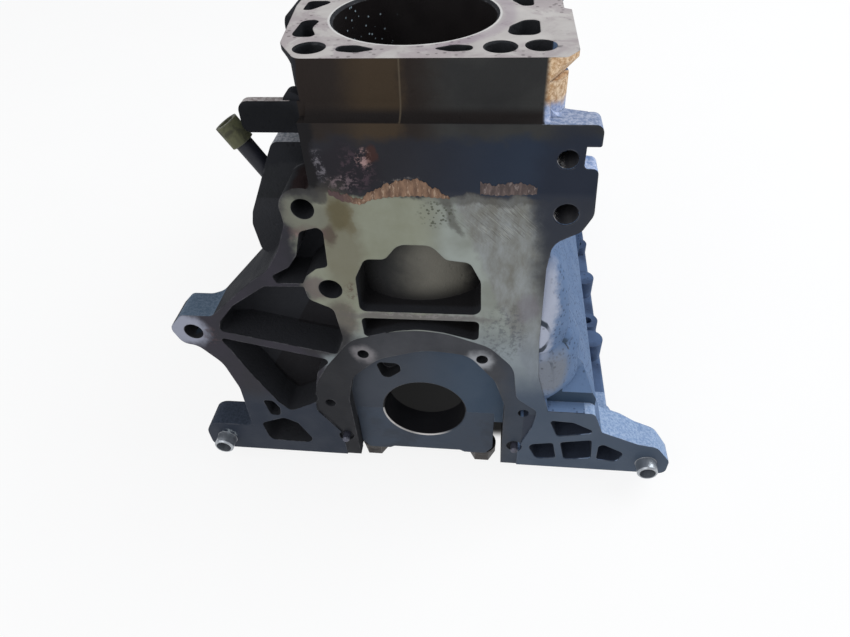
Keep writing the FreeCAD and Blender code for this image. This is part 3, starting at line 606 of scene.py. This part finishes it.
# %% Casting: the edge of the cream
smear_width = between(slant, SCRAPED_FROM_X - 4 * MM, SCRAPED_FROM_X, 0.0014)
smear = both(smear_width, between(rz, 0.152, SEALANT_Z - 0.5 * MM, 0.003))
color = tint(tree, both(calc(tree, "MULTIPLY", smear, 0.65), on_flange), color, srgb(70, 67, 62))
print("casting: dark edge of the cream")

# %% [markdown]
# ### Scratches and speckle
# Diagonal scraper marks cross the flange on the right. A noise that is stretched many times along
# one direction turns into lines; turning comes before stretching, so it takes two nodes. The
# speckle beside them is a cell pattern.

# %% Casting: scratches, speckle
turned = stretch(tree, place, turn=(0, -0.8, 0))
lines = fade(tree, grain(tree, stretch(tree, turned, scale=(110, 1, 1900)), 1.0, 2.0, 0.5), 0.56, 0.64)
dark_lines = fade(tree, grain(tree, stretch(tree, turned, scale=(90, 1, 1300)), 1.0, 2.0, 0.5), 0.44, 0.38)
scraped = use(tree, soft_spot, "Mask", Place=ragged, Centre=(0.044, 0, 0.158),
              Size=(0.017, 0.03, 0.012), Soft=0.4)
scratches = both(both(lines, scraped), on_flange)
dark_scratches = both(calc(tree, "MULTIPLY", dark_lines, 0.5), both(scraped, on_flange))
color = tint(tree, dark_scratches, color, srgb(84, 82, 76))
color = tint(tree, calc(tree, "MULTIPLY", scratches, 0.5), color, srgb(160, 162, 154))
speckled = use(tree, soft_spot, "Mask", Place=ragged, Centre=(0.014, 0, 0.164),
               Size=(0.009, 0.03, 0.007), Soft=0.4)
specks = both(fade(tree, cells(tree, place, 560.0), 0.3, 0.42, 1.0, 0.0), both(speckled, on_flange))
color = tint(tree, calc(tree, "MULTIPLY", specks, 0.75), color, srgb(60, 62, 48))
print("casting: scratches and speckle")

# %% Casting: ring, bulkhead, end of the bank
ring = tint(tree, grain(tree, place, 70.0, 5.0), srgb(40, 42, 47), srgb(70, 71, 76))
ring = tint(tree, fade(tree, rx, -0.02, -0.05), ring, srgb(28, 29, 34))
ring = tint(tree, fade(tree, rx, 0.045, 0.06), ring, srgb(50, 58, 70))
color = tint(tree, on_ring, color, ring)
# The pale marks round the two seal holes of the ring are painted highlights.
color = spot(color, srgb(176, 178, 182), (37, 1, 60), (8, 10, 6.5), 0.7, on_ring, 0.6)
color = spot(color, srgb(134, 130, 132), (-34, 1, 61), (6, 10, 6), 0.75, on_ring, 0.6)
bulkhead = tint(tree, fade(tree, rx, -0.02, 0.04), srgb(56, 62, 72), srgb(52, 68, 86))
color = tint(tree, on_bulkhead, color, bulkhead)
color = tint(tree, on_bank_end, color, wall)
ledge_hollow = both(on_bank_end, fade(tree, up, 0.25, 0.8))
color = tint(tree, ledge_hollow, color, srgb(32, 28, 27))
leaning = calc(tree, "SUBTRACT", x, calc(tree, "MULTIPLY", z, 0.02))
flash = both(on_bank_end, between(leaning, -0.0056, -0.0049, 0.0003))
color = tint(tree, calc(tree, "MULTIPLY", flash, 0.7), color, srgb(92, 82, 68))
print("casting: ring, bulkhead, end of the bank")

# %% Casting: the right corner of the bank
corner_side = fade(tree, x, BANK_X[1] - 0.001, BANK_X[1] + 0.0015)
corner_end = fade(tree, y, 0.022, 0.02)
corner = both(corner_side, both(corner_end, fade(tree, z, LEDGE_Z + 0.0005, LEDGE_Z + 0.001)))
corner = both(corner, but_not(fade(tree, y, 0.0002, 0.0006), on_deck))
rusty = fade(tree, grain(tree, place, 520.0, 5.0, 0.7), 0.36, 0.62)
gold = tint(tree, rusty, srgb(240, 212, 176), srgb(186, 146, 104))
# The top of the corner is painted pale blue, painted sky light like the other tops.
painted_sky_top = tint(tree, mottle, srgb(136, 156, 196), srgb(196, 204, 226))
gold = tint(tree, fade(tree, rz, 0.2185, 0.2135), gold, painted_sky_top)
color = tint(tree, calc(tree, "MULTIPLY", corner, 0.95), color, gold)
print("casting: rusty corner")

# %% Casting: inside the hollows
# The hollows are painted dark: partly oil, partly painted shade.
hollow_oil_and_shade = tint(tree, grain(tree, place, 40.0, 4.0), srgb(34, 35, 38), srgb(45, 46, 51))
hollow_oil_and_shade = tint(tree, foot_pockets, hollow_oil_and_shade, srgb(40, 47, 61))
hollow_oil_and_shade = tint(tree, crankcase, hollow_oil_and_shade, srgb(30, 29, 32))
# The barrel seen through the window is painted with a lit band, and with painted shade to its right, below it
# and on its faces that look up.
barrel_lit_and_shaded = tint(tree, fade(tree, rx, -0.018, 0.012), srgb(40, 40, 40), srgb(106, 103, 94))
barrel_lit_and_shaded = tint(tree, fade(tree, rx, 0.024, 0.034), barrel_lit_and_shaded, srgb(38, 36, 36))
barrel_lit_and_shaded = tint(tree, fade(tree, z, 0.112, 0.094), barrel_lit_and_shaded, srgb(32, 31, 32))
barrel_lit_and_shaded = tint(tree, fade(tree, up, 0.3, 0.6), barrel_lit_and_shaded, srgb(24, 23, 25))
hollow_oil_and_shade = tint(tree, both(window, fade(tree, y, 0.005, 0.008)), hollow_oil_and_shade, barrel_lit_and_shaded)
color = tint(tree, but_not(sheltered, either(on_flange, on_bulkhead)), color, hollow_oil_and_shade)
print("casting: hollows")

# %% [markdown]
# ### The deck
# The deck was ground flat for the head gasket. The gasket left purplish rings and brown stains; the
# metal between them is a warm pale grey with fine grinding lines.

# %% Casting: deck and bores
deck = tint(tree, grain(tree, place, 55.0, 6.0, 0.62, 0.4), srgb(164, 157, 154), srgb(208, 203, 198))
stain = use(tree, grime, "Mask", Place=place, Scale=48.0, Cover=0.6)
deck = tint(tree, calc(tree, "MULTIPLY", stain, 0.4), deck, srgb(132, 112, 122))
fine_dots = both(fade(tree, cells(tree, place, 300.0), 0.22, 0.3, 1.0, 0.0), stain)
deck = tint(tree, calc(tree, "MULTIPLY", fine_dots, 0.55), deck, srgb(66, 56, 56))
halo = both(between(from_axis, BORE_R + 0.003, BORE_R + 0.009, 0.002), fade(tree, x, 0.0, 0.02))
deck = tint(tree, calc(tree, "MULTIPLY", halo, 0.35), deck, srgb(140, 120, 138))
lip = between(from_axis, BORE_R, BORE_R + 0.0022, 0.0004)
deck = tint(tree, calc(tree, "MULTIPLY", lip, 0.7), deck, srgb(222, 220, 216))
color = tint(tree, on_deck, color, deck)
color = spot(color, srgb(40, 44, 46), (63.5, 19, 235.7), (3.6, 1.6, 5), 0.95, on_deck, 0.5)
bore_left = tint(tree, grain(tree, place, 60.0), srgb(24, 22, 23), srgb(40, 36, 36))
color = tint(tree, in_bore, color, bore_left)
color = tint(tree, in_crank, color, srgb(22, 23, 27))
print("casting: deck and bores")

# %% Casting: roughness, metal, relief
milled = either(on_flange, on_ring, on_bulkhead, on_deck)
honed = either(in_bore, in_crank)
edges = both(use(tree, worn_edge, "Edge", Radius=0.0011), fade(tree, grain(tree, place, 150.0), 0.42, 0.6))
lip_depth = between(y, -0.001, BANK_FACE_Y)
lip_top = both(fade(tree, z, LEDGE_Z - 0.0015, LEDGE_Z - 0.0008), between(x, *BANK_X))
bank_lip = both(lip_depth, lip_top)
edges = but_not(edges, either(sheltered, bank_lip, black_left))
color = tint(tree, calc(tree, "MULTIPLY", edges, 0.3), color, srgb(132, 132, 136))
wet = use(tree, soft_spot, "Mask", Place=ragged, Centre=(-0.032, 0.087, 0.215),
          Size=(0.016, 0.024, 0.026), Soft=0.5)
wet = both(wet, in_bore)
# The glints on the wet patch of the bore are painted highlights.
painted_glints = both(wet, fade(tree, cells(tree, place, 330.0), 0.1, 0.2, 1.0, 0.0))
color = tint(tree, painted_glints, color, srgb(176, 194, 204))
roughness = calc(tree, "SUBTRACT", 0.85, calc(tree, "MULTIPLY", milled, 0.27))
roughness = calc(tree, "SUBTRACT", roughness, calc(tree, "MULTIPLY", honed, 0.42))
roughness = calc(tree, "SUBTRACT", roughness, calc(tree, "MULTIPLY", wet, 0.25))
roughness = calc(tree, "ADD", roughness, calc(tree, "MULTIPLY", calc(tree, "SUBTRACT", blotch, 0.5), 0.12))
metallic = calc(tree, "MULTIPLY", either(milled, honed), 0.2)
relief = calc(tree, "SUBTRACT", 0.5, calc(tree, "MULTIPLY", either(milled, honed), 0.38))
height = use(tree, cast_skin, "Height", Place=place, Grain=SKIN_GRAIN)
oily = either(black_left, bank_lip, both(on_flange, fade(tree, z, SEALANT_Z, SEALANT_Z + 4 * MM)))
gloss = calc(tree, "SUBTRACT", 0.3, calc(tree, "MULTIPLY", oily, 0.16))
round_edge = calc(tree, "MULTIPLY", calc(tree, "SUBTRACT", 1.0, bank_lip), 0.0009)
close(tree, color, roughness, metallic, height, bump=relief, depth=0.0006, edge=round_edge, gloss=gloss)
wear(nodes["cylinder_block"], iron)
print("casting: finished,", len(tree.nodes), "shader nodes")

# %% [markdown]
# ## Bearing caps, bolts, plugs and dowels
# The small parts are plain turned, pressed or milled metal. They share one recipe: a base colour
# that drifts between two shades, a fine grain, some grime and brighter edges. A function takes the
# values that differ.

# %% Small metal parts
def metal(name, dark, light, roughness, metallic, scale=90.0, dirt_color=srgb(30, 28, 28), cover=0.4):
    """A small part's finish: two shades, a fine grain, grime and brighter edges."""
    material, tree, place = start(name)
    shade = tint(tree, grain(tree, place, scale, 5.0, 0.6), dark, light)
    wear_and_highlight = calc(tree, "MULTIPLY", use(tree, worn_edge, "Edge", Radius=0.0006), 0.5)
    shade = tint(tree, wear_and_highlight, shade, srgb(150, 150, 152))
    muck = use(tree, grime, "Mask", Place=place, Scale=scale * 0.8, Cover=cover)
    shade = tint(tree, calc(tree, "MULTIPLY", muck, 0.55), shade, dirt_color)
    rough = calc(tree, "ADD", roughness - 0.08, calc(tree, "MULTIPLY", grain(tree, place, scale * 2.0), 0.16))
    rough = calc(tree, "ADD", rough, calc(tree, "MULTIPLY", muck, 0.12))
    fine = grain(tree, place, scale * 9.0, 4.0)
    close(tree, shade, rough, metallic, fine, bump=0.25, depth=0.0003, edge=0.0005)
    return material


def cap_finish():
    """Machined iron with the crankshaft bore dark and a painted highlight on its chamfer at the lower left.
    """
    material, tree, place = start("bearing_cap_iron")
    shade = tint(tree, grain(tree, place, 40.0, 5.0, 0.6), srgb(50, 57, 68), srgb(60, 71, 86))
    flat = vector(tree, "MULTIPLY", place, (1, 0, 1))
    from_centre = vector(tree, "LENGTH", flat, output=1)
    bore = fade(tree, from_centre, CRANK_R + 0.0001, CRANK_R + 0.0003, 1.0, 0.0)
    chamfer = fade(tree, from_centre, CRANK_R + 0.0009, CRANK_R + 0.0012, 1.0, 0.0)
    # The bright chamfer at the lower left, the side that faces the light, is a painted highlight.
    aslant = vector(tree, "DOT_PRODUCT", place, (-0.6, 0, -0.8), 1)
    wear_and_highlight = calc(tree, "MULTIPLY", chamfer, fade(tree, aslant, 0.004, 0.022))
    shade = tint(tree, wear_and_highlight, shade, srgb(214, 210, 206))
    shade = tint(tree, bore, shade, srgb(24, 24, 28))
    muck = use(tree, grime, "Mask", Place=place, Scale=32.0, Cover=0.3)
    shade = tint(tree, calc(tree, "MULTIPLY", muck, 0.35), shade, srgb(34, 34, 38))
    rough = calc(tree, "ADD", 0.5, calc(tree, "MULTIPLY", grain(tree, place, 80.0), 0.16))
    fine = grain(tree, place, 360.0, 4.0)
    close(tree, shade, rough, 0.15, fine, bump=0.25, depth=0.0003, edge=0.0005, gloss=0.3)
    return material


cap_iron = cap_finish()
bolt_steel = metal("cap_bolt_steel", srgb(52, 50, 50), srgb(84, 80, 78), 0.5, 0.6)
plug_steel = metal("core_plug_steel", srgb(96, 92, 84), srgb(140, 134, 122), 0.5, 0.6,
                   cover=0.5, dirt_color=srgb(88, 58, 38))
dowel_steel = metal("dowel_steel", srgb(132, 138, 146), srgb(200, 204, 208), 0.32, 0.75, cover=0.25)
pin_steel = metal("pin_steel", srgb(70, 72, 84), srgb(104, 104, 120), 0.45, 0.6)
tube_paint = metal("tube_black_paint", srgb(14, 16, 24), srgb(24, 27, 40), 0.55, 0.1,
                   dirt_color=srgb(44, 40, 38), cover=0.3)
zinc = metal("sleeve_yellow_zinc", srgb(60, 62, 46), srgb(98, 98, 68), 0.55, 0.3, scale=160.0, cover=0.5)
FINISHES = {
    "main_bearing": cap_iron,
    "cap_bolts": bolt_steel,
    "core_plug": plug_steel,
    "oil_gallery": plug_steel,
    "gearbox_dowel": dowel_steel,
    "seal_carrier": pin_steel,
    "breather": tube_paint,
    "tube_end": zinc,
}
for name, node in nodes.items():
    for beginning, material in FINISHES.items():
        if name.startswith(beginning):
            wear(node, material)
print("finishes:", len(FINISHES))

# %% [markdown]
# ## Old sealant
# When the gearbox adaptor came off, a ragged strip of orange-brown sealant stayed across the
# flange, with a second shorter piece to its right. A grid of small faces is the easy start: it is
# stretched between two wandering lines, its skin is lifted in upright pleats, and its border is
# drawn back to the flange to give it a thickness.

# %% Sealant strips
def new_piece(name, mesh):
    """Turn a bmesh into an object of the scene."""
    data = bpy.data.meshes.new(name)
    mesh.to_mesh(data)
    mesh.free()
    piece = bpy.data.objects.new(name, data)
    bpy.context.scene.collection.objects.link(piece)
    return piece


FACE_WIDTH = 0.45
FACES_UP = 26
SKIN_OUT = 0.12
BACK_IN = 0.05


def sealant(name, x_from, x_to, foot, crest, seed, lift):
    """A torn strip on the flange between two wandering lines, all in millimetres."""
    draw = random.Random(seed)
    mesh = bmesh.new()
    long = int((x_to - x_from) / FACE_WIDTH)
    bmesh.ops.create_grid(mesh, x_segments=long, y_segments=FACES_UP, size=0.5)
    phase = [draw.uniform(0, 6.28) for _ in range(6)]
    for vertex in mesh.verts:
        along = vertex.co.x + 0.5
        across = vertex.co.y + 0.5
        x_here = x_from + along * (x_to - x_from)
        low, high = foot(along), crest(along)
        tear = 0.45 * math.sin(x_here * 1.3 + phase[0]) + 0.3 * math.sin(x_here * 3.1 + phase[1])
        ripple = 0.25 * math.sin(x_here * 2.3 + phase[2])
        z_here = low + across * (high - low) + tear * across + ripple * (1 - across)
        ends = min(1.0, min(along, 1 - along) * 14)
        rim = min(1.0, min(across, 1 - across) * 6) * ends
        lean = x_here + 0.5 * math.sin(z_here * 0.7 + phase[3])
        pleat = 0.5 + 0.3 * math.sin(lean * 2.4 + phase[4]) + 0.2 * math.sin(lean * 5.3 + phase[5])
        y_here = -SKIN_OUT - lift * rim * (0.4 + 0.6 * pleat) + draw.uniform(-0.02, 0.02)
        vertex.co = Vector((x_here, y_here, z_here)) * MM
    skin = bmesh.ops.extrude_face_region(mesh, geom=mesh.faces[:])
    back = [item for item in skin["geom"] if isinstance(item, bmesh.types.BMVert)]
    for vertex in back:
        vertex.co.y = BACK_IN * MM
    bmesh.ops.recalc_face_normals(mesh, faces=mesh.faces[:])
    piece = new_piece(name, mesh)
    for polygon in piece.data.polygons:
        polygon.use_smooth = True
    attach(piece, "root")
    print(name, len(piece.data.polygons), "faces")
    return piece


def curve_through(*levels):
    """A smooth line through evenly spaced levels, read at 0 to 1."""
    def level(along):
        at = along * (len(levels) - 1)
        step = min(int(at), len(levels) - 2)
        share = at - step
        share = share * share * (3 - 2 * share)
        return levels[step] * (1 - share) + levels[step + 1] * share
    return level


long_foot = curve_through(173.6, 170.0, 168.6, 171.6, 173.0, 173.6, 174.0, 173.2, 172.8)
long_crest = curve_through(176.5, 174.4, 171.8, 176.5, 180.4, 182.6, 183.0, 178.5, 173.6)
long_strip = sealant("sealant_strip_long", -38, 20.5, long_foot, long_crest, seed=3, lift=0.5)
short_foot = curve_through(175.6, 175.0, 175.6, 176.0)
short_crest = curve_through(182.0, 180.4, 181.8, 181.6, 180.0)
short_strip = sealant("sealant_strip_short", 34.8, 61, short_foot, short_crest, seed=8, lift=0.4)

# %% Sealant finish
def sealant_finish(name, dark, light, edge_color):
    """Dull rubber with upright streaks, paler flakes, and purplish dirt at its left end."""
    material, tree, place = start(name)
    upright = stretch(tree, place, scale=(1, 1, 0.3))
    shade = tint(tree, fade(tree, grain(tree, upright, 420.0, 5.0, 0.6), 0.34, 0.66), dark, light)
    shade = tint(tree, fade(tree, grain(tree, upright, 900.0, 3.0, 0.6), 0.56, 0.66), shade, edge_color)
    split = tree.nodes.new("ShaderNodeSeparateXYZ")
    tree.links.new(place, split.inputs[0])
    shade = tint(tree, fade(tree, split.outputs[0], -0.022, -0.034), shade, srgb(84, 66, 66))
    fine = grain(tree, upright, 900.0, 5.0, 0.6)
    close(tree, shade, 0.85, 0.0, fine, bump=0.35, depth=0.0004, edge=0.0003, gloss=0.25)
    return material


orange = sealant_finish("sealant_orange", srgb(98, 76, 63), srgb(136, 108, 88), srgb(158, 134, 114))
dull = sealant_finish("sealant_dull", srgb(76, 66, 64), srgb(106, 92, 88), srgb(124, 112, 108))
wear(long_strip, orange)
wear(short_strip, dull)
print("sealant finishes ready")

# %% [markdown]
# ## Threads
# CAD leaves a thread as a plain hole at the crest of the teeth. A real thread is a ridge that winds
# into the hole, so a small V of three points is spun round the hole's axis and moved along it a
# little at every step. The ridge rises by a share of the pitch, starts a little inside the mouth,
# and its foot is sunk into the wall so that no gap shows.

# %% Threads in the ear and the flange
STEPS = 28
MOUTH = 0.6
SUNK = 0.02
RIDGE = 0.45


def thread(name, centre_x, centre_z, radius, pitch, turns):
    """A thread ridge inside a hole that opens towards -Y; sizes in millimetres."""
    mesh = bmesh.new()
    points = [
        Vector((radius + SUNK, MOUTH, 0)),
        Vector((radius - pitch * RIDGE, MOUTH + pitch * RIDGE, 0)),
        Vector((radius + SUNK, MOUTH + pitch * RIDGE * 2, 0)),
    ]
    corners = [mesh.verts.new(p * MM) for p in points]
    face = mesh.faces.new(corners)
    bmesh.ops.spin(mesh, geom=[face], cent=(0, 0, 0), axis=(0, 1, 0), dvec=(0, pitch * MM / STEPS, 0),
                   angle=math.tau * turns, steps=STEPS * turns, use_duplicate=False)
    bmesh.ops.translate(mesh, verts=mesh.verts, vec=(centre_x * MM, 0, centre_z * MM))
    bmesh.ops.recalc_face_normals(mesh, faces=mesh.faces[:])
    piece = new_piece(name, mesh)
    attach(piece, "root")
    return piece


THREADS = [("thread_ear_upper", 75.6, 165.2, 5.93, 1.5, 12), ("thread_ear_top", 73.3, 193.8, 4.8, 1.25, 12)]


def thread_finish():
    """Dark oily iron, with a painted highlight on the crests of the left flank only, where the light falls.
    """
    material, tree, place = start("thread_iron")
    split = tree.nodes.new("ShaderNodeSeparateXYZ")
    tree.links.new(place, split.inputs[0])
    left_flank = fade(tree, split.outputs[0], 0.0735, 0.0705)
    patchy = fade(tree, grain(tree, place, 520.0, 3.0, 0.6), 0.46, 0.56)
    # The bright crests are a painted highlight.
    bright = calc(tree, "MULTIPLY", left_flank, patchy)
    bright = calc(tree, "MULTIPLY", bright, use(tree, worn_edge, "Edge", Radius=0.0004))
    shade = tint(tree, grain(tree, place, 160.0), srgb(20, 20, 24), srgb(34, 34, 39))
    shade = tint(tree, bright, shade, srgb(236, 232, 226))
    fine = grain(tree, place, 900.0)
    close(tree, shade, 0.5, 0.2, fine, bump=0.2, depth=0.0002, edge=0.0002, gloss=0.3)
    return material


thread_iron = thread_finish()
for name, *sizes in THREADS:
    wear(thread(name, *sizes), thread_iron)
print("threads:", len(THREADS))

# %% [markdown]
# ## The studio
# A pale floor under the block and soft light from above, the right and the front. The floor also
# glows for the eye and for reflections, so that the background is white without more light on the
# object; under the block it hardly does, and its colour there is painted dark as a painted shadow,
# so the view through the crankshaft bore stays as dark as it is in life.

# %% Floor
FLOOR_HALF = 6.0
FLOOR_GAP = 0.2 * MM
GLOW = 0.86
GLOW_UNDER = 0.012
floor_z = cad_box[0][2]
mesh = bmesh.new()
bmesh.ops.create_grid(mesh, x_segments=1, y_segments=1, size=FLOOR_HALF)
bmesh.ops.translate(mesh, verts=mesh.verts, vec=(0, 0, floor_z - FLOOR_GAP))
floor = new_piece("floor", mesh)

pale, tree, place = start("floor_pale")
shader = tree.nodes.new("ShaderNodeBsdfPrincipled")
shader.inputs["Roughness"].default_value = 0.9
paper = tint(tree, grain(tree, place, 8.0), srgb(236, 236, 236), srgb(246, 246, 246))
split = tree.nodes.new("ShaderNodeSeparateXYZ")
tree.links.new(place, split.inputs[0])
under = both(between(split.outputs[0], -0.1, 0.1, 0.02), between(split.outputs[1], 0.034, 0.33, 0.006))
# Under the block the floor is painted dark: a painted shadow.
wire(tree, shader.inputs["Base Color"], tint(tree, under, paper, srgb(52, 51, 52)))
glow = tree.nodes.new("ShaderNodeEmission")
glow.inputs["Color"].default_value = (1, 1, 1, 1)
path = tree.nodes.new("ShaderNodeLightPath")
seen = calc(tree, "MAXIMUM", path.outputs["Is Camera Ray"], path.outputs["Is Glossy Ray"])
seen = calc(tree, "MAXIMUM", seen, path.outputs["Is Transmission Ray"])
share = both(seen, fade(tree, under, 0.0, 1.0, GLOW, GLOW_UNDER))
mixer = tree.nodes.new("ShaderNodeMixShader")
tree.links.new(share, mixer.inputs[0])
tree.links.new(shader.outputs[0], mixer.inputs[1])
tree.links.new(glow.outputs[0], mixer.inputs[2])
tree.links.new(mixer.outputs[0], tree.nodes.new("ShaderNodeOutputMaterial").inputs["Surface"])
wear(floor, pale)
print("floor at", round(floor_z, 4))

# %% Lights and world
def lamp(name, spot_at, size, power, color=(1, 1, 1), aim=(0, 0.15, 0.1)):
    """A square soft light that looks at the middle of the block."""
    data = bpy.data.lights.new(name, "AREA")
    data.size = size
    data.energy = power
    data.color = color
    light = bpy.data.objects.new(name, data)
    light.location = spot_at
    light.rotation_euler = (Vector(aim) - Vector(spot_at)).to_track_quat("-Z", "Y").to_euler()
    bpy.context.scene.collection.objects.link(light)


lamp("sky_right", (1.3, 0.6, 1.5), 1.4, 26.0, (0.93, 0.97, 1.0))
lamp("front_fill", (-0.7, -1.4, 1.2), 1.6, 13.0)
world = bpy.data.worlds.new("studio")
bpy.context.scene.world = world
world.use_nodes = True
backdrop = world.node_tree.nodes["Background"]
backdrop.inputs["Color"].default_value = (0.92, 0.95, 1.0, 1)
backdrop.inputs["Strength"].default_value = 0.55
print("lights and world set")
